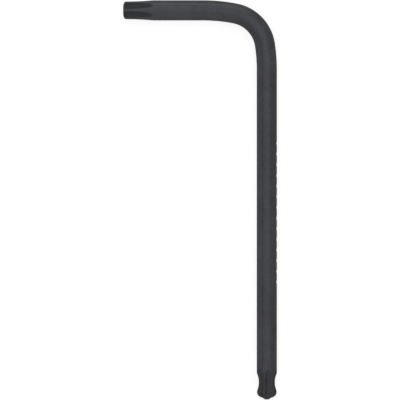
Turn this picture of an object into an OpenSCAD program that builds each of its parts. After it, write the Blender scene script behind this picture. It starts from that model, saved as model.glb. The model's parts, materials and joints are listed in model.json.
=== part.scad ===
// Star key: one round steel bar bent to an L, with a six-lobed star drive on both ends.
// The short arm ends in a straight star, and the long arm in a ball star on a waist.
// The key lies flat on Z = 0. The long arm lies along Y with its ball at -Y, and the short
// arm points to -X. The origin is under the middle of the whole key.
// The bar is one solid piece. Its seven zones meet face to face at flat cuts across the bar.

/* [Bar] */
// Diameter of the round bar
bar_d = 9; // [8.9:0.05:10]
// Overall length along the long arm, from the ball's end to the outside of the bend
long_length = 177.8; // [150:0.1:260]
// Overall length along the short arm, from the star's end to the outside of the bend
short_length = 68.5; // [58:0.1:110]

/* [Bend] */
// Radius of the main part of the bend, on the bar's axis
bend_r = 16.7; // [10:0.1:24]
// Radius of the slow curve that leads into the bend from each arm, on the bar's axis
lead_r = 76; // [40:1:90]
// Angle that the slow curve next to the short arm turns through
short_lead_turn = 10.9; // [4:0.1:13]
// Angle that the slow curve next to the long arm turns through
long_lead_turn = 8.5; // [4:0.1:13]

/* [Star drive] */
// Diameter over the lobes of the straight star
star_d = 8.8; // [8.3:0.01:8.9]
// Diameter over the lobes of the ball star
ball_d = 8.9; // [8.4:0.01:9]
// Diameter between the floors of opposite flutes
flute_d = 6.34; // [5.9:0.01:6.6]
// Radius of the round on each lobe
lobe_r = 0.75; // [0.6:0.01:0.9]

/* [Star end] */
// Length of the flutes at their full depth, from the end
star_full = 2.2; // [2:0.1:8]
// Length of the curved ramp on which the flutes run out to the bar's surface
star_runout = 11.1; // [4:0.1:12]
// Diameter of the flat on the end
star_flat_d = 2.6; // [1:0.1:6]
// Length of the rounded bevel between that flat and the lobes
star_bevel = 1.4; // [0.2:0.05:1.8]
// Turn of the star about the short arm, zero with a flute facing up
star_turn = 30; // [0:1:59]

/* [Ball end] */
// Height of the ball's widest section above its end
ball_rise = 3.35; // [2.8:0.05:4]
// Radius of the ball's round, along the bar
ball_round = 2.45; // [1.8:0.05:2.6]
// Diameter of the flat on the small nub at the end
nub_d = 1.6; // [1:0.1:3]
// Diameter of the nub where it meets the ball
nub_base_d = 4.5; // [4:0.1:5]
// Diameter over the lobes at the waist
waist_d = 7.28; // [6.5:0.01:8]
// Height of the waist above the ball's end
waist_rise = 7.7; // [6.5:0.1:10]
// Length of the flutes past the shoulder where the waist meets the bar
ball_runout = 2; // [1:0.1:4]
// Turn of the ball's star about the long arm, zero with a flute facing up
ball_turn = 11; // [0:1:59]

/* [Stamped strokes] */
// Number of plain strokes stamped across the outer side of the long arm
stroke_count = 14; // [1:1:16]
// Distance from one stroke to the next
stroke_pitch = 4.75; // [3:0.05:6]
// Width of one stroke, along the arm
stroke_w = 1.3; // [0.6:0.1:2]
// Depth of one stroke
stroke_depth = 0.15; // [0.05:0.05:0.4]
// Height of the row's middle above the ball's end
stroke_rise = 83.2; // [70:0.1:95]

/* [Hidden] */
$fn = 96;
steel = "#45454a";

bar_r = bar_d / 2;
star_r = star_d / 2;
ball_r = ball_d / 2;
floor_r = flute_d / 2;
nub_r = nub_d / 2;
nub_base_r = nub_base_d / 2;
waist_r = waist_d / 2;

// Lines of the two arms
long_x = short_length / 2 - bar_r;
short_y = long_length / 2 - bar_r;
star_end_x = -short_length / 2;
ball_end_y = -long_length / 2;

// The bend's three arcs, and what they take from each arm
right_angle = 90;
main_turn = right_angle - short_lead_turn - long_lead_turn;
short_reach = lead_r * (sin(short_lead_turn) + 1 - cos(long_lead_turn))
    + bend_r * (cos(long_lead_turn) - sin(short_lead_turn));
long_reach = lead_r * (sin(long_lead_turn) + 1 - cos(short_lead_turn))
    + bend_r * (cos(short_lead_turn) - sin(long_lead_turn));
short_end_x = long_x - short_reach;
long_top_y = short_y - long_reach;
main_x = short_end_x + (lead_r - bend_r) * sin(short_lead_turn);
main_y = long_top_y + (lead_r - bend_r) * sin(long_lead_turn);

// The star's section: six lobes, and six flutes that are tangent to them
lobe_count = 6;
pitch = 360 / lobe_count;
half_pitch = pitch / 2;
lobe_mid_r = star_r - lobe_r;
flute_r = (pow(floor_r, 2) + pow(lobe_mid_r, 2) - pow(lobe_r, 2)
        - 2 * lobe_mid_r * floor_r * cos(half_pitch))
    / (2 * (lobe_mid_r * cos(half_pitch) - floor_r + lobe_r));
floor_share = floor_r / star_r;

// The star end
star_length = star_full + star_runout;
short_start_x = star_end_x + star_length;

// The ball's outline: the ball's arc and the waist's arc touch where both lean by flank_lean
ball_mid_r = ball_r - ball_round;
rise_gap = waist_rise - ball_rise;
waist_drop = ball_r - waist_r;
round_sum = (pow(rise_gap, 2) + pow(waist_drop, 2)) / (2 * waist_drop);
waist_round = round_sum - ball_round;
flank_lean = asin(rise_gap / round_sum);
under_lean = acos((nub_base_r - ball_mid_r) / ball_round);
shoulder_lean = acos(1 - (bar_r - waist_r) / waist_round);
shoulder_rise = waist_rise + waist_round * sin(shoulder_lean);
ball_length = shoulder_rise + ball_runout;
waist_floor_r = waist_r * floor_share;
long_bottom_y = ball_end_y + ball_length;

// Points in one ring and rings in each stretch of the two tips
ring_points = 72;
bevel_steps = 8;
ramp_steps = 14;
ball_steps = 10;
waist_steps = 12;
exit_steps = 4;

// Radius of a fluted bar, at an angle from the middle of its nearest flute. The flute's
// hollow and the rounds on its edges have the star's radii, scaled by star_share.
function fluted_r(angle, crest_r, bottom_r, star_share) =
    let (
        hollow_r = flute_r * star_share,
        edge_r = lobe_r * star_share,
        hollow_mid = bottom_r + hollow_r,
        edge_mid = crest_r - edge_r,
        edge_cos = (pow(hollow_mid, 2) + pow(edge_mid, 2) - pow(edge_r + hollow_r, 2))
            / (2 * hollow_mid * edge_mid),
        crest_from = min(half_pitch, acos(min(1, edge_cos))),
        across = edge_mid * sin(crest_from) * hollow_r,
        along = edge_mid * cos(crest_from) * hollow_r + hollow_mid * edge_r,
        edge_from = atan2(across, along)
    )
    bottom_r >= crest_r || angle >= crest_from ? crest_r
    : angle >= edge_from
        ? edge_mid * cos(crest_from - angle)
            + sqrt(pow(edge_r, 2) - pow(edge_mid * sin(crest_from - angle), 2))
        : hollow_mid * cos(angle) - sqrt(pow(hollow_r, 2) - pow(hollow_mid * sin(angle), 2));

// One ring of a tip: its height above the end, the radii over the crests and between the
// floors, the star's scale, and the radius that nothing passes
function ring(rise, crest_r, bottom_r, star_share, most_r) =
    [for (i = [0 : ring_points - 1])
        let (
            turned = i * 360 / ring_points,
            past = turned % pitch,
            r = min(most_r, fluted_r(min(past, pitch - past), crest_r, bottom_r, star_share))
        )
        [r * cos(turned), r * sin(turned), rise]];

// The star end's rings: a rounded bevel, full flutes, then the ramp, which steepens to its end
function bevel_ring(lean) =
    ring(star_bevel * (1 - cos(lean)), star_r, floor_r, 1,
        star_flat_d / 2 + (star_r - star_flat_d / 2) * sin(lean));
function ramp_ring(share) =
    let (crest_r = star_r + (bar_r - star_r) * share)
    ring(star_full + star_runout * share, crest_r, floor_r + (bar_r - floor_r) * pow(share, 2),
        crest_r / star_r, crest_r);
star_rings = [
    for (i = [0 : bevel_steps]) bevel_ring(right_angle * i / bevel_steps),
    for (i = [0 : ramp_steps]) ramp_ring(i / ramp_steps)
];

// The ball end's rings: the nub, the ball, the waist, then the way out to the bar's surface
function ball_ring(rise, crest_r) =
    ring(rise, crest_r, max(nub_base_r, crest_r * floor_share), crest_r / star_r, crest_r);
function exit_ring(rise, crest_r) =
    let (share = (rise - waist_rise) / (ball_length - waist_rise))
    ring(rise, crest_r, waist_floor_r + (bar_r - waist_floor_r) * pow(share, 2),
        crest_r / star_r, crest_r);
function ball_arc_ring(lean) =
    ball_ring(ball_rise + ball_round * sin(lean), ball_mid_r + ball_round * cos(lean));
function waist_arc_ring(lean) =
    let (
        rise = waist_rise + waist_round * sin(lean),
        crest_r = waist_r + waist_round * (1 - cos(lean))
    )
    lean < 0 ? ball_ring(rise, crest_r) : exit_ring(rise, crest_r);
ball_rings = [
    ring(0, nub_r, nub_r, nub_r / star_r, nub_r),
    for (i = [0 : ball_steps])
        ball_arc_ring(-under_lean + (under_lean + flank_lean) * i / ball_steps),
    for (i = [1 : waist_steps])
        waist_arc_ring(-flank_lean + (flank_lean + shoulder_lean) * i / waist_steps),
    for (i = [1 : exit_steps]) exit_ring(shoulder_rise + ball_runout * i / exit_steps, bar_r)
];

// A solid through rings of points, closed at both ends
module lofted(rings) {
    last = len(rings) - 1;
    first_mid = len(rings) * ring_points;
    points = [
        for (one_ring = rings) each one_ring,
        [0, 0, rings[0][0].z],
        [0, 0, rings[last][0].z]
    ];
    faces = [
        for (j = [0 : ring_points - 1])
            let (next = (j + 1) % ring_points, top = last * ring_points)
            each [
                [first_mid, j, next],
                [first_mid + 1, top + next, top + j]
            ],
        for (i = [0 : last - 1], j = [0 : ring_points - 1])
            let (
                next = (j + 1) % ring_points,
                low = i * ring_points,
                high = low + ring_points
            )
            each [
                [low + j, high + j, high + next],
                [low + j, high + next, low + next]
            ]
    ];
    polyhedron(points, faces, convexity = lobe_count);
}

// A stretch of the bar bent to an arc about Z
module bent_bar(mid_r, from, turn) {
    rotate_extrude(angle = turn, start = from)
        translate([mid_r, 0])
            circle(d = bar_d);
}

module star_tip() {
    color(steel)
        translate([star_end_x, short_y, bar_r])
            rotate([180, -90, 0])
                rotate([0, 0, star_turn])
                    lofted(star_rings);
}

module short_arm() {
    color(steel)
        translate([short_start_x, short_y, bar_r])
            rotate([0, 90, 0])
                cylinder(h = short_end_x - short_start_x, d = bar_d);
}

module short_lead() {
    color(steel)
        translate([short_end_x, short_y - lead_r, bar_r])
            bent_bar(lead_r, right_angle - short_lead_turn, short_lead_turn);
}

module bend() {
    color(steel)
        translate([main_x, main_y, bar_r])
            bent_bar(bend_r, long_lead_turn, main_turn);
}

module long_lead() {
    color(steel)
        translate([long_x - lead_r, long_top_y, bar_r])
            bent_bar(lead_r, 0, long_lead_turn);
}

module long_arm() {
    row_from = ball_end_y + stroke_rise - stroke_pitch * (stroke_count - 1) / 2;
    color(steel)
        difference() {
            translate([long_x, long_bottom_y, bar_r])
                rotate([-90, 0, 0])
                    cylinder(h = long_top_y - long_bottom_y, d = bar_d);
            for (i = [0 : stroke_count - 1])
                translate([long_x + bar_r - stroke_depth, row_from + stroke_pitch * i - stroke_w / 2, 0])
                    cube([bar_r, stroke_w, bar_d]);
        }
}

module ball_tip() {
    color(steel)
        translate([long_x, ball_end_y, bar_r])
            rotate([0, -90, -90])
                rotate([0, 0, ball_turn])
                    lofted(ball_rings);
}

star_tip();
short_arm();
short_lead();
bend();
long_lead();
long_arm();
ball_tip();
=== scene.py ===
# %% [markdown]
# # A star key
#
# A star key is one round steel bar, bent to an L, with a six-lobed star formed on each end. The short
# arm ends in a straight star, and the long arm in a ball star, which still turns a screw at a slant.
# The whole bar then gets a dark grey phosphate coat. This lesson makes its skin the way the key itself
# is made: rings are drawn along a straight bar, shaped to the star at the ends, and the bar is bent last.

# %% Load the frame
import json
import math

import bmesh
import bpy
from mathutils import Matrix, Vector


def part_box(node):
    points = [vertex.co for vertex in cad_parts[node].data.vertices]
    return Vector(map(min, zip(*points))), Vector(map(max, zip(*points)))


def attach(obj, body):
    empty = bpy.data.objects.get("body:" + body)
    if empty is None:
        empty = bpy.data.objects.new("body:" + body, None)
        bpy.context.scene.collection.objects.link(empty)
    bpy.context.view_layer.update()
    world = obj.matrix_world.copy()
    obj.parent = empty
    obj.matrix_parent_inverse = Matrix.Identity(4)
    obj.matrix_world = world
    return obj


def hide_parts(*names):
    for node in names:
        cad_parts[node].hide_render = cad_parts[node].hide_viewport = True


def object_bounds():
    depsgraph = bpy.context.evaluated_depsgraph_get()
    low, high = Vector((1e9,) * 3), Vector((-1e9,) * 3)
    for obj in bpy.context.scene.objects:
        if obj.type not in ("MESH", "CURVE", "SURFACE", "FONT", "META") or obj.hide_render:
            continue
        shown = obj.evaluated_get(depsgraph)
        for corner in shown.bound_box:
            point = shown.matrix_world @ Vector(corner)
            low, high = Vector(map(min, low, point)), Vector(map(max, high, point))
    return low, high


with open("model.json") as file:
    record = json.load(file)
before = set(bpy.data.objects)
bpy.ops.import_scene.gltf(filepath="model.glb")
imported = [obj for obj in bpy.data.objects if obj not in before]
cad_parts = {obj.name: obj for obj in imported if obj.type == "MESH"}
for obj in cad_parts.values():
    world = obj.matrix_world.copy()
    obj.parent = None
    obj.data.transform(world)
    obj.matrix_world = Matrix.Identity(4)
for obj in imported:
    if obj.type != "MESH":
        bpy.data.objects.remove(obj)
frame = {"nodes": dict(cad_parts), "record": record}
cad_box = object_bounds()
print("frame nodes:", sorted(frame["nodes"]))

# %% [markdown]
# The frame already knows the key's main sizes. The mounts give the lines of the two arms, the radius of
# the bar and the radius over the star's lobes, and the nodes' boxes give the cuts between the zones. All
# of these could be typed in again, but taken from the frame they always land on the solids. Lengths are
# in metres, and MM turns them from millimetres.

# %% Sizes from the frame
MM = 0.001
mounts = {mount["name"]: mount for mount in frame["record"]["mounts"]}
bar_r = mounts["long_shank"]["dims"]["r_mm"] * MM
star_r = mounts["star_drive"]["dims"]["r_mm"] * MM
ball_r = mounts["ball_drive"]["dims"]["r_mm"] * MM
waist_rise = mounts["ball_drive"]["dims"]["length_mm"] * MM
long_x = mounts["long_shank"]["pos_m"][0]
bar_z = mounts["long_shank"]["pos_m"][2]
short_y = mounts["short_shank"]["pos_m"][1]
star_end_x = mounts["star_drive"]["pos_m"][0]
ball_end_y = mounts["ball_drive"]["pos_m"][1]
short_start_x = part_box("short_arm")[0].x
short_end_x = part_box("short_arm")[1].x
long_top_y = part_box("long_arm")[1].y
long_bottom_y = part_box("long_arm")[0].y
key_length = cad_box[1].y - cad_box[0].y
print(f"bar {2 * bar_r / MM:.2f} mm, key {key_length / MM:.1f} mm long")

# %% [markdown]
# The photograph looks straight down on the key, from so far away that nothing on it leans outwards. An
# orthographic camera would do, but a very long lens does the same and is what a photographer has. The
# camera's height follows from the lens and from how much of the picture's side the key fills, and its
# place from where the key's middle lies in the picture.

# %% Camera
photo_px = 400
key_px = 399.2
middle_px = (200.03, 199.87)
lens_mm = 1000
sensor_mm = 36
px = key_length / key_px
view_width = photo_px * px
camera_data = bpy.data.cameras.new("photo_camera")
camera_data.lens = lens_mm
camera_data.sensor_width = sensor_mm
camera = bpy.data.objects.new("photo_camera", camera_data)
camera.location = (
    (photo_px / 2 - middle_px[0]) * px,
    (middle_px[1] - photo_px / 2) * px,
    bar_z + view_width * lens_mm / sensor_mm,
)
bpy.context.scene.collection.objects.link(camera)
bpy.context.scene.camera = camera
print(f"camera {camera.location.z:.3f} m above the floor")

# %% [markdown]
# The room's light and the key's finish are node trees. Their nodes could be made and linked one by one,
# but shader maths reads best as plain sums. So a Wire is one socket of a node tree, and adding or
# multiplying wires adds the Math nodes. Every other node comes from its one method, node.

# %% Wires


class Wire:
    """One output socket of a node tree."""

    def __init__(self, socket):
        self.socket = socket

    def node(self, kind, settings=None, sockets=None, out=0):
        """Adds a node, sets its settings, fills or links its sockets, and returns one of its outputs."""
        tree = self.socket.id_data
        made = tree.nodes.new(kind)
        for name, value in (settings or {}).items():
            setattr(made, name, value)
        for key, value in (sockets or {}).items():
            if isinstance(value, Wire):
                tree.links.new(value.socket, made.inputs[key])
            else:
                made.inputs[key].default_value = value
        return Wire(made.outputs[out])

    def math(self, operation, first, second):
        return self.node("ShaderNodeMath", {"operation": operation}, {0: first, 1: second})

    def __add__(self, other):
        return self.math("ADD", self, other)

    __radd__ = __add__

    def __sub__(self, other):
        return self.math("SUBTRACT", self, other)

    def __rsub__(self, other):
        return self.math("SUBTRACT", other, self)

    def __mul__(self, other):
        return self.math("MULTIPLY", self, other)

    __rmul__ = __mul__

    def feeds(self, socket):
        self.socket.id_data.links.new(self.socket, socket)


print("wires ready")

# %% [markdown]
# The photograph's ground is pure white, with no shadow that one could see. A white floor under strong
# lamps would come close, but the lamps would bleach the key. So the floor is a wide pale light table: it
# glows by itself, which leaves only a faint shadow, and its edge never shows. Its paint is slightly warm,
# so that the cool lights leave that shadow grey. A satin bar would mirror the bright table along both its
# edges, where the photograph shows it dark. So the table is kept out of mirrored rays.

# %% Floor
floor_half = 3.0
floor_look = {
    "Base Color": (0.312, 0.305, 0.283, 1),
    "Roughness": 0.9,
    "Specular IOR Level": 0,
    "Emission Color": (1, 1, 1, 1),
    "Emission Strength": 0.8,
}
floor_bm = bmesh.new()
bmesh.ops.create_grid(floor_bm, x_segments=1, y_segments=1, size=floor_half)
floor_mesh = bpy.data.meshes.new("floor")
floor_bm.to_mesh(floor_mesh)
floor_bm.free()
floor = bpy.data.objects.new("floor", floor_mesh)
bpy.context.scene.collection.objects.link(floor)
floor_paint = bpy.data.materials.new("pale_floor")
floor_paint.use_nodes = True
floor_shader = floor_paint.node_tree.nodes["Principled BSDF"]
for socket, value in floor_look.items():
    floor_shader.inputs[socket].default_value = value
floor_mesh.materials.append(floor_paint)
floor.visible_glossy = False
print("floor", 2 * floor_half, "m wide")

# %% [markdown]
# The light that fills a photographer's white room is slightly cool. One even strength would do for the
# upper side of the key. But the edges of a satin bar mirror what lies below the table's height, and they
# are dark in the photograph. So the room is even down to that height, and darker below.

# %% Room
cool_white = (0.97, 0.985, 1.05)
room_strength = 0.48
room_under = 0.3
room_fall = 0.6
room = bpy.data.worlds.new("white_room")
room.use_nodes = True
walls = room.node_tree.nodes["Background"]
walls.inputs["Color"].default_value = (*cool_white, 1)
compass = Wire(walls.outputs["Background"]).node("ShaderNodeTexCoord", out="Generated")
height = compass.node("ShaderNodeSeparateXYZ", sockets={0: compass}, out="Z")
fall = {
    "Value": height,
    "From Min": -room_fall,
    "From Max": 0,
    "To Min": room_under,
    "To Max": room_strength,
}
height.node("ShaderNodeMapRange", sockets=fall).feeds(walls.inputs["Strength"])
bpy.context.scene.world = room
bpy.context.scene.view_settings.view_transform = "Standard"
print("room strength", room_strength)

# %% [markdown]
# The long arm has a soft light stripe along its middle, and the short arm is lighter on its upper half than
# on its lower one. One lamp gives only one of the two. So the main light is a long soft roof that lies along
# the long arm, bright towards the head of the picture and dim towards its foot. Low panels stand at the
# head, at the foot and on the inner side of the long arm.

# %% Light panels
roof_x = 0.06
roof_z = 0.7
bright_y = 1.2
dim_y = -1.05
low_reach = 1.2
low_z = 0.2
low_size = (1.0, 0.4)
key_middle = (0, 0, 0)


def panel(name, place, aim, size, watts):
    """A light panel of a width and a height, at a place, that faces a point."""
    data = bpy.data.lights.new(name, "AREA")
    data.shape = "RECTANGLE"
    data.size, data.size_y = size
    data.energy = watts
    data.color = cool_white
    light = bpy.data.objects.new(name, data)
    light.location = place
    light.rotation_euler = (Vector(aim) - Vector(place)).to_track_quat("-Z", "Y").to_euler()
    light.visible_camera = False
    bpy.context.scene.collection.objects.link(light)


panel("roof_light", place=(roof_x, bright_y, roof_z), aim=(roof_x, bright_y, 0), size=(1.0, 2.5), watts=6.2)
panel("roof_dim", place=(roof_x, dim_y, roof_z), aim=(roof_x, dim_y, 0), size=(1.0, 2.0), watts=2.9)
panel("head_light", place=(0, low_reach, low_z), aim=key_middle, size=low_size, watts=1.7)
panel("foot_light", place=(0, -low_reach, low_z), aim=key_middle, size=low_size, watts=0.8)
panel("inner_light", place=(-low_reach, 0, low_z), aim=key_middle, size=low_size, watts=0.8)

# %% [markdown]
# The bar's middle line is two straight runs and a bend between them. Cold bending leaves a slow curve on
# each side of the tight one, so the bend is three arcs. A bevelled curve could follow this line, but it
# couldn't change its section to a star on the way. So the line is a rule instead: for a distance along
# the bar, counted from the star's end, it gives the matrix that sets a flat ring there. The ring's first
# axis then points up, its second to the inside of the bend, and its third on along the bar.

# %% The bar's middle line
bend_r = 16.7 * MM
short_lead_turn = math.radians(10.9)
long_lead_turn = math.radians(8.5)
main_turn = math.pi / 2 - short_lead_turn - long_lead_turn
main_reach = bend_r * (math.cos(long_lead_turn) - math.sin(short_lead_turn))
lead_share = math.sin(short_lead_turn) + 1 - math.cos(long_lead_turn)
lead_r = (long_x - short_end_x - main_reach) / lead_share
runs = [
    (short_end_x - star_end_x, 0),
    (lead_r * short_lead_turn, 1 / lead_r),
    (bend_r * main_turn, 1 / bend_r),
    (lead_r * long_lead_turn, 1 / lead_r),
    (long_top_y - ball_end_y, 0),
]
bar_length = sum(length for length, curve in runs)


def frame_at(along):
    """The matrix that sets a flat ring on the bar, at a distance along it."""
    x, y, heading = star_end_x, short_y, 0.0
    for length, curve in runs:
        step = min(along, length)
        along -= step
        turned = heading + step * curve
        if curve:
            x += (math.sin(turned) - math.sin(heading)) / curve
            y += (math.cos(turned) - math.cos(heading)) / curve
        else:
            x += step * math.cos(heading)
            y -= step * math.sin(heading)
        heading = turned
    ahead, aside = math.cos(heading), math.sin(heading)
    return Matrix((
        (0, -aside, ahead, x),
        (0, -ahead, -aside, y),
        (1, 0, 0, bar_z),
        (0, 0, 0, 1),
    ))


print(f"lead radius {lead_r / MM:.1f} mm, bar {bar_length / MM:.1f} mm along its middle line")

# %% [markdown]
# On the real bar a cutter mills the flutes, and a lathe turns the ends. The finish has to know where, so
# each ring gets its cuts: how much of its flutes and of its crests is duller and painted darker, and how
# much of the whole ring was turned. The darker colour is painted shade, in the flutes, on the ball and on
# the floors of the stamped strokes. Whether a point belongs to a flute could be told from its angle, but
# the flutes narrow towards their ends. So its depth decides: it counts as flute once it lies edge_share of
# the ring's depth below the crest, or least_edge where the flute has almost run out.

# %% Cuts and painted shade of a ring
edge_share = 0.3
least_edge = 0.02 * MM


def cuts_and_shade(flutes=0, crests=0, turned=0):
    """Shares of a ring's flutes and crests that are duller and carry painted shade, and of the whole ring
    that was turned.
    """
    return flutes, crests, turned


def soft_step(value):
    """Rises smoothly from 0 to 1 while the value does."""
    value = min(1, max(0, value))
    return value * value * (3 - 2 * value)


def dullness_and_shade_shares(radii, flute_share, crest_share):
    """The share of duller steel and painted shade at each point of a ring, from its radius."""
    crest = max(radii)
    edge = max(least_edge, (crest - min(radii)) * edge_share)
    # Deeper points take more of the flute share, which makes them duller and paints shade darker into the
    # flutes.
    return [crest_share + (flute_share - crest_share) * soft_step((crest - r) / edge) for r in radii]


uncut = cuts_and_shade()
print("cuts of the plain bar:", uncut)

# %% [markdown]
# A piece of the bar is a stack of rings. A spin would turn a plain bar in one go, but it can't make
# flutes. So the first ring is a circle, and each next one is extruded from the one before, given its own
# radius all round, and in the end set on the middle line. A station says where a ring lies, how its radius
# changes with the angle, and its cuts. Each point keeps three notes for the finish: its place on the
# straight bar, its own share of duller steel with painted shade, and its share of turning. An extrusion
# leaves its faces in no fixed order, so they are sorted in the end, and the mesh comes out the same each
# time.

# %% Rings to pieces
ring_points = 144


def ring_edges(verts):
    """The edges that run round a ring of points."""
    inside = set(verts)
    return list(dict.fromkeys(e for v in verts for e in v.link_edges if e.other_vert(v) in inside))


def face_order(face, count):
    """A number for each face, from the places of its points in the list of all points."""
    places = [v.index for v in face.verts]
    return min(places) * count + max(places)


def bar_piece(name, stations, sharp_from):
    """A closed piece of the bar through its stations: (along, radius at an angle, cuts)."""
    bm = bmesh.new()
    bar_place = bm.verts.layers.float_vector.new("bar_place")
    milled = bm.verts.layers.float.new("milled")
    turned = bm.verts.layers.float.new("turned")
    verts = bmesh.ops.create_circle(bm, segments=ring_points, radius=bar_r)["verts"]
    rings = []
    for along, radius_at, (flute_share, crest_share, turned_share) in stations:
        if rings:
            made = bmesh.ops.extrude_edge_only(bm, edges=ring_edges(verts))["geom"]
            verts = [part for part in made if isinstance(part, bmesh.types.BMVert)]
        angles = [math.atan2(v.co.y, v.co.x) for v in verts]
        radii = [radius_at(angle) for angle in angles]
        shares = dullness_and_shade_shares(radii, flute_share, crest_share)
        for v, angle, r, share in zip(verts, angles, radii, shares):
            v.co = (r * math.cos(angle), r * math.sin(angle), 0)
            v[bar_place] = (v.co.x, v.co.y, along)
            # Each point's share of duller steel and of painted shade, high in the flutes.
            v[milled] = share
            v[turned] = turned_share
        rings.append(verts)
    for verts in (rings[0], rings[-1]):
        bmesh.ops.edgeloop_fill(bm, edges=ring_edges(verts))
    for station, verts in zip(stations, rings):
        bmesh.ops.transform(bm, matrix=frame_at(station[0]), verts=verts)
    bmesh.ops.recalc_face_normals(bm, faces=bm.faces)
    bm.verts.index_update()
    count = len(bm.verts)
    bm.faces.sort(key=lambda face: face_order(face, count))
    mesh = bpy.data.meshes.new(name)
    bm.to_mesh(mesh)
    bm.free()
    mesh.shade_smooth()
    mesh.set_sharp_from_angle(angle=math.radians(sharp_from))
    piece = bpy.data.objects.new(name, mesh)
    bpy.context.scene.collection.objects.link(piece)
    print(f"{name}: {len(rings)} rings, {len(mesh.polygons)} faces")
    return piece


# %% [markdown]
# Seen end on, the star is six round lobes with six round flutes between them, each arc tangent to the
# next. Booleans could cut the flutes as a cutter does, but they leave ragged edges and long thin faces. A
# radius for each angle keeps the rings regular. The flute's radius follows from the other sizes. The same
# rule, with a higher floor, gives the narrow flute near its end, where a strip of plain bar shows between
# the flutes.

# %% The star's section
lobe_count = 6
pitch = 2 * math.pi / lobe_count
half_pitch = pitch / 2
floor_r = 3.17 * MM
lobe_r = 0.75 * MM
lobe_mid_r = star_r - lobe_r
flute_r = (
    floor_r ** 2 + lobe_mid_r ** 2 - lobe_r ** 2 - 2 * lobe_mid_r * floor_r * math.cos(half_pitch)
) / (2 * (lobe_mid_r * math.cos(half_pitch) - floor_r + lobe_r))


def fluted_radius(angle, crest_r, bottom_r):
    """Radius of a fluted bar at an angle from the middle of its nearest flute."""
    if bottom_r >= crest_r:
        return crest_r
    share = crest_r / star_r
    hollow_r, edge_r = flute_r * share, lobe_r * share
    hollow_mid, edge_mid = bottom_r + hollow_r, crest_r - edge_r
    edge_cos = hollow_mid ** 2 + edge_mid ** 2 - (edge_r + hollow_r) ** 2
    edge_cos /= 2 * hollow_mid * edge_mid
    crest_from = min(half_pitch, math.acos(min(1, edge_cos)))
    across = edge_mid * math.sin(crest_from) * hollow_r
    onward = edge_mid * math.cos(crest_from) * hollow_r + hollow_mid * edge_r
    if angle >= crest_from:
        return crest_r
    if angle >= math.atan2(across, onward):
        past = crest_from - angle
        return edge_mid * math.cos(past) + math.sqrt(edge_r ** 2 - (edge_mid * math.sin(past)) ** 2)
    return hollow_mid * math.cos(angle) - math.sqrt(hollow_r ** 2 - (hollow_mid * math.sin(angle)) ** 2)


print(f"flute radius {flute_r / MM:.2f} mm")

# %% [markdown]
# A lathe takes the corners off the end of the star, and the edges that it leaves aren't quite sharp. A bevel
# operator would need those edges to run along the faces, and here they cross them. So a ring is held inside
# a largest radius, and the corner between the two is rounded by a soft minimum.

# %% Sections held inside a radius
bevel_sharpness = 40


def soft_min(a, b, sharpness):
    """The smaller of two radii, with the corner between them rounded."""
    return (a ** -sharpness + b ** -sharpness) ** (-1 / sharpness)


def star_section(crest_r, bottom_r, turn, most_r=bar_r):
    """How the star's radius changes with the angle, for one ring."""
    def radius_at(angle):
        past = (angle - turn) % pitch
        r = fluted_radius(min(past, pitch - past), crest_r, bottom_r)
        return r if most_r >= bar_r else soft_min(r, most_r, bevel_sharpness)
    return radius_at


full_section = star_section(star_r, floor_r, turn=0)
print(f"star {full_section(half_pitch) / MM:.2f} mm at a lobe, {full_section(0) / MM:.2f} mm in a flute")

# %% [markdown]
# The straight star ends in a small flat with a rounded bevel, cut by one turn on a lathe, so the bevel is
# the same all round. Behind it the flutes keep their full depth for a little way, and then rise on a long
# curve to the bar's surface, as behind a large round cutter, which gives each one its pointed arch. A
# straight ramp would be simpler, but its flutes would end in long thin points.

# %% Star end
star_flat_r = 1.3 * MM
star_bevel = 1.4 * MM
star_full = 2.2 * MM
star_turn = half_pitch
star_runout = short_start_x - star_end_x - star_full
bevel_steps = 10
full_steps = 3
ramp_steps = 40


def bevel_station(lean):
    """A ring of the rounded bevel, from the flat at no lean to the lobes at a right angle."""
    most_r = star_flat_r + (star_r - star_flat_r) * math.sin(lean)
    section = star_section(star_r, floor_r, star_turn, most_r)
    return star_bevel * (1 - math.cos(lean)), section, cuts_and_shade(flutes=1, turned=math.cos(lean))


def full_station(share):
    """A ring where the flutes have their full depth."""
    section = star_section(star_r, floor_r, star_turn)
    return star_bevel + (star_full - star_bevel) * share, section, cuts_and_shade(flutes=1)


def ramp_station(share):
    """A ring of the curve on which the flutes rise to the bar's surface."""
    crest_r = star_r + (bar_r - star_r) * share
    bottom_r = floor_r + (bar_r - floor_r) * share ** 2
    section = star_section(crest_r, bottom_r, star_turn)
    return star_full + star_runout * share, section, cuts_and_shade(flutes=1)


star_stations = [bevel_station(math.pi / 2 * i / bevel_steps) for i in range(bevel_steps)]
star_stations += [full_station(i / full_steps) for i in range(full_steps)]
star_stations += [ramp_station(i / ramp_steps) for i in range(ramp_steps + 1)]
star_end = bar_piece("star_end", star_stations, sharp_from=50)

# %% [markdown]
# The ball star is the same section, drawn out along a turned outline: a small nub, the ball, a waist and
# the shoulder where the waist runs out into the bar. On the real key a lathe turns the outline first and a
# cutter mills the flutes after it. Here both come at once, because each ring takes its crest from the
# outline and its floor from the star. Ball and waist are two arcs that touch. Past the waist, the flutes
# climb to the bar's surface.

# %% Outline of the ball end
ball_rise = 3.35 * MM
ball_round = 2.45 * MM
nub_r = 0.8 * MM
nub_base_r = 2.25 * MM
waist_r = 3.64 * MM
ball_length = long_bottom_y - ball_end_y
floor_share = floor_r / star_r
ball_mid_r = ball_r - ball_round
rise_gap = waist_rise - ball_rise
waist_drop = ball_r - waist_r
round_sum = (rise_gap ** 2 + waist_drop ** 2) / (2 * waist_drop)
waist_round = round_sum - ball_round
flank_lean = math.asin(rise_gap / round_sum)
under_lean = math.acos((nub_base_r - ball_mid_r) / ball_round)
flank_rise = ball_rise + ball_round * math.sin(flank_lean)
print(f"ball end {ball_length / MM:.2f} mm long, waist radius {waist_round / MM:.2f} mm along the bar")

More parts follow.
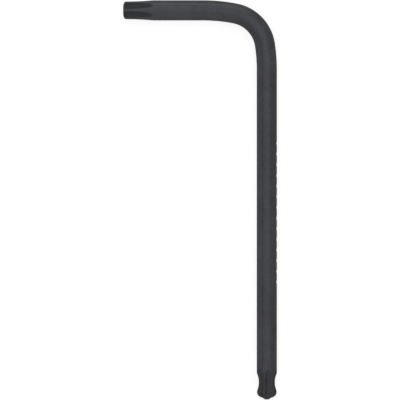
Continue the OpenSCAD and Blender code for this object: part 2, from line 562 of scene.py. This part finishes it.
# %% Ball end
ball_turn = math.radians(-11)
# The whole ball, crests too, is half duller and painted darker: painted shade on the ball end.
ball_dullness_and_shade = 0.5
shoulder_sharpness = 80
ball_steps = 26
waist_steps = 56
ball_cuts_and_shade = cuts_and_shade(flutes=ball_dullness_and_shade, crests=ball_dullness_and_shade)
nub_cuts_and_shade = cuts_and_shade(flutes=ball_dullness_and_shade, crests=ball_dullness_and_shade, turned=1)


def ball_station(rise, crest_r, bottom_r, ring_cuts_and_shade):
    """A ring of the ball star, at a height above the ball's end."""
    return bar_length - rise, star_section(crest_r, bottom_r, ball_turn), ring_cuts_and_shade


def ball_arc_station(lean):
    """A ring of the ball, at a lean from its widest section."""
    crest_r = ball_mid_r + ball_round * math.cos(lean)
    bottom_r = max(nub_base_r, crest_r * floor_share)
    return ball_station(ball_rise + ball_round * math.sin(lean), crest_r, bottom_r, ball_cuts_and_shade)


def waist_station(share):
    """A ring of the waist and the shoulder, up to where the flutes have run out."""
    rise = flank_rise + (ball_length - flank_rise) * share
    arc_r = waist_r + waist_round - math.sqrt(waist_round ** 2 - (rise - waist_rise) ** 2)
    crest_r = soft_min(arc_r, bar_r, shoulder_sharpness)
    climb = max(0, rise - waist_rise) / (ball_length - waist_rise)
    waist_floor_r = waist_r * floor_share
    bottom_r = crest_r * floor_share
    if climb:
        bottom_r = waist_floor_r + (bar_r - waist_floor_r) * climb ** 2
    # The painted shade and the dullness fade out as the flutes climb to the bar.
    fading = cuts_and_shade(flutes=ball_dullness_and_shade * (1 - climb ** 2 / 2), crests=ball_dullness_and_shade * (1 - climb))
    return ball_station(rise, crest_r, bottom_r, fading)


ball_stations = [ball_station(0, nub_r, nub_r, nub_cuts_and_shade)]
ball_stations += [
    ball_arc_station(-under_lean + (under_lean + flank_lean) * i / ball_steps) for i in range(ball_steps)
]
ball_stations += [waist_station(i / waist_steps) for i in range(waist_steps + 1)]
ball_end = bar_piece("ball_end", ball_stations, sharp_from=50)

# %% [markdown]
# The short arm is plain bar, so it needs only two rings, one at each end. A cylinder would look the same,
# but it wouldn't carry the notes that the finish reads.

# %% Short arm


def plain(angle):
    """The bar's own radius."""
    return bar_r


short_from = short_start_x - star_end_x
short_to = short_end_x - star_end_x
short_bar = bar_piece("short_bar", [(short_from, plain, uncut), (short_to, plain, uncut)], sharp_from=5)

# %% [markdown]
# The long arm is plain bar too, but carries a row of short strokes stamped across its outer side. A stroke
# is a flat pressed a little way into the round. Boxes could be cut from the bar with booleans, but rings
# keep clean faces: a stroke's ring is the bar's circle with a chord cut off, and its two walls are rings
# set close together.

# %% Long arm
stroke_count = 14
stroke_pitch = 4.75 * MM
stroke_w = 1.3 * MM
stroke_depth = 0.15 * MM
stroke_wall = 0.06 * MM
stroke_rise = 83.2 * MM
# The stroke floors take a share of the flutes' darker tone: painted shade in the dents, and a duller sheen.
stroke_floor_shade = cuts_and_shade(flutes=0.6)


def stamped(angle):
    """The bar's radius where a flat is pressed into the outer side of the bend's plane."""
    outward = -math.sin(angle)
    flat_r = bar_r - stroke_depth
    return flat_r / outward if outward * bar_r > flat_r else bar_r


long_from = bar_length - (long_top_y - ball_end_y)
long_to = bar_length - (long_bottom_y - ball_end_y)
row_from = bar_length - stroke_rise - stroke_pitch * (stroke_count - 1) / 2
wall = stroke_w / 2
floor_edge = wall - stroke_wall
long_stations = [(long_from, plain, uncut)]
for i in range(stroke_count):
    middle = row_from + stroke_pitch * i
    long_stations += [
        (middle - wall, plain, uncut),
        (middle - floor_edge, stamped, stroke_floor_shade),
        (middle + floor_edge, stamped, stroke_floor_shade),
        (middle + wall, plain, uncut),
    ]
long_stations += [(long_to, plain, uncut)]
long_bar = bar_piece("long_bar", long_stations, sharp_from=8)

# %% [markdown]
# The bend is plain bar again, with its rings close together, so that it looks round from near by. A Simple
# Deform modifier could bend a straight bar, but only on one radius, and this bend has three arcs. The
# middle line knows them, so the rings are only set on it one after the other.

# %% Bend
ring_gap = 0.4 * MM
bend_stations = [(short_to, plain, uncut)]
for length, curve in runs[1:-1]:
    arc_from = bend_stations[-1][0]
    steps = math.ceil(length / ring_gap)
    bend_stations += [(arc_from + length * (i + 1) / steps, plain, uncut) for i in range(steps)]
bent_bar = bar_piece("bent_bar", bend_stations, sharp_from=20)

# %% [markdown]
# Phosphate is a thin coat of fine dark crystals, oiled to a soft sheen. It is a little blotchy, and keeps
# faint lines from the drawing of the bar. Where a cutter has opened the steel, in the flutes and on the
# ball, it is duller, and the finish paints it darker there as painted shade, as it does the floors of the
# stamped strokes. One grey would look like plastic. So the finish starts from what each point knows: its
# place in space for the grain, its place on the straight bar for the lines, its share of duller steel with
# painted shade, and its share of turning.

# %% Start of the phosphate finish
phosphate = bpy.data.materials.new("phosphate_coat")
phosphate.use_nodes = True
shader = phosphate.node_tree.nodes["Principled BSDF"]
start = Wire(shader.outputs["BSDF"])
solid = start.node("ShaderNodeTexCoord", out="Object")
bar_place = start.node("ShaderNodeAttribute", {"attribute_name": "bar_place"}, out="Vector")
# This share carries the painted shade of the flutes, the ball and the stroke floors, and their dullness.
milled = start.node("ShaderNodeAttribute", {"attribute_name": "milled"}, out="Fac")
turned = start.node("ShaderNodeAttribute", {"attribute_name": "turned"}, out="Fac")
print("finish:", phosphate.name)

# %% [markdown]
# The grain has four sizes. The crystals are cells of a Voronoi texture, each with its own tint. Noise gives
# the blotches and the wider clouds. The drawing lines are noise too, stretched along the straight bar, so
# that they follow the bend. An image could hold all this, but it would need an unwrapped skin and would
# blur close by.

# %% Grain of the coat
crystal_size = 0.16 * MM
blotch_size = 5 * MM
cloud_size = 25 * MM
line_size = 0.5 * MM
line_stretch = 0.01
noise_roughness = 0.65


def scaled(place, factors):
    """A place stretched by one factor for each axis."""
    return place.node("ShaderNodeVectorMath", {"operation": "MULTIPLY"}, {0: place, 1: factors})


def noise(place, size, detail):
    """Noise between 0 and 1 whose grains have about this size."""
    sockets = {"Vector": place, "Scale": 1 / size, "Detail": detail, "Roughness": noise_roughness}
    return place.node("ShaderNodeTexNoise", sockets=sockets)


cells = {"Vector": solid, "Scale": 1 / crystal_size}
crystal_tint = start.node("ShaderNodeTexVoronoi", sockets=cells, out="Color")
crystals = crystal_tint.node("ShaderNodeSeparateColor", sockets={0: crystal_tint})
facets = start.node("ShaderNodeTexVoronoi", sockets=cells, out="Distance")
blotches = noise(solid, blotch_size, detail=4)
clouds = noise(solid, cloud_size, detail=2)
lines = noise(scaled(bar_place, (1, 1, line_stretch)), line_size, detail=2)
print(f"crystals {crystal_size / MM:.2f} mm, blotches {blotch_size / MM:.0f} mm")

# %% [markdown]
# The four patterns add up to one tone about a middle grey, each with its own weight. The tone picks a
# colour between a dark and a light one, for the drawn bar and for a darker pair that paints shade, and the
# share from the rings mixes the two: painted shade in the flutes, on the ball and in the stroke floors. The
# same share makes the steel there rougher. Two materials could do this, but then the flutes would end in a
# hard line.

# %% Colour and sheen
drawn_dark = (0.0050, 0.0050, 0.0055, 1)
drawn_light = (0.0476, 0.0476, 0.0524, 1)
# The darker pair is painted shade for the flutes, the ball and the stroke floors.
painted_shade_dark = (0.0047, 0.0047, 0.0052, 1)
painted_shade_light = (0.0273, 0.0273, 0.0300, 1)
pattern_middle = 0.5
blotch_weight = 0.8
cloud_weight = 0.6
line_weight = 0.4
crystal_weight = 0.6
drawn_roughness = 0.4
crystal_roughness = 0.2
milled_roughness = 0.35


def swing(pattern, weight):
    """How far a pattern is from its middle, times a weight."""
    return (pattern - pattern_middle) * weight


def mixed(factor, first, second):
    """A colour between two colours."""
    return factor.node("ShaderNodeMix", {"data_type": "RGBA"}, {0: factor, 6: first, 7: second}, out=2)


tone = pattern_middle + swing(blotches, blotch_weight) + swing(clouds, cloud_weight)
tone = tone + swing(lines, line_weight) + swing(crystals, crystal_weight)
# The share mixes in the darker pair, which paints shade where the share is high.
coat = mixed(milled, mixed(tone, drawn_dark, drawn_light), mixed(tone, painted_shade_dark, painted_shade_light))
coat.feeds(shader.inputs["Base Color"])
roughness = drawn_roughness + swing(crystals, crystal_roughness) + milled * milled_roughness
roughness.feeds(shader.inputs["Roughness"])
print("roughness of the drawn bar", drawn_roughness)

# %% [markdown]
# Close by, the coat feels like fine sandpaper: the crystals stand up, the drawing lines are shallow
# furrows, and the lathe has left fine rings on the ends. All of it is far too fine for the mesh, so a bump
# tilts the light instead. The lathe's rings are a sine of the way along the bar plus the way out from its
# axis, so they run over the flat and the bevel alike.

# %% Relief of the coat
turned_pitch = 0.15 * MM
line_height = 0.3
turned_height = 0.4
relief_strength = 0.6
relief_depth = 0.04 * MM

across = scaled(bar_place, (1, 1, 0))
from_axis = across.node("ShaderNodeVectorMath", {"operation": "LENGTH"}, {0: across}, out="Value")
along = bar_place.node("ShaderNodeSeparateXYZ", sockets={0: bar_place}, out="Z")
phase = (along + from_axis) * (2 * math.pi / turned_pitch)
turned_rings = phase.node("ShaderNodeMath", {"operation": "SINE"}, {0: phase})
relief = facets + lines * line_height + turned_rings * turned * turned_height
bump = {"Strength": relief_strength, "Distance": relief_depth, "Height": relief}
relief.node("ShaderNodeBump", sockets=bump).feeds(shader.inputs["Normal"])
print("phosphate nodes:", len(phosphate.node_tree.nodes))

# %% [markdown]
# Each piece takes the finish and the place of the solid that it stands for. The key has no moving parts,
# so everything rides on the one body.

# %% Hand the pieces to the frame
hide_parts("star_tip")
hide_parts("short_arm")
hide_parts("short_lead", "bend", "long_lead")
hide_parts("long_arm")
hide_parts("ball_tip")
pieces = [star_end, short_bar, bent_bar, long_bar, ball_end]
for piece in pieces:
    piece.data.materials.append(phosphate)
    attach(piece, "root")
print("dressed:", [piece.name for piece in pieces])
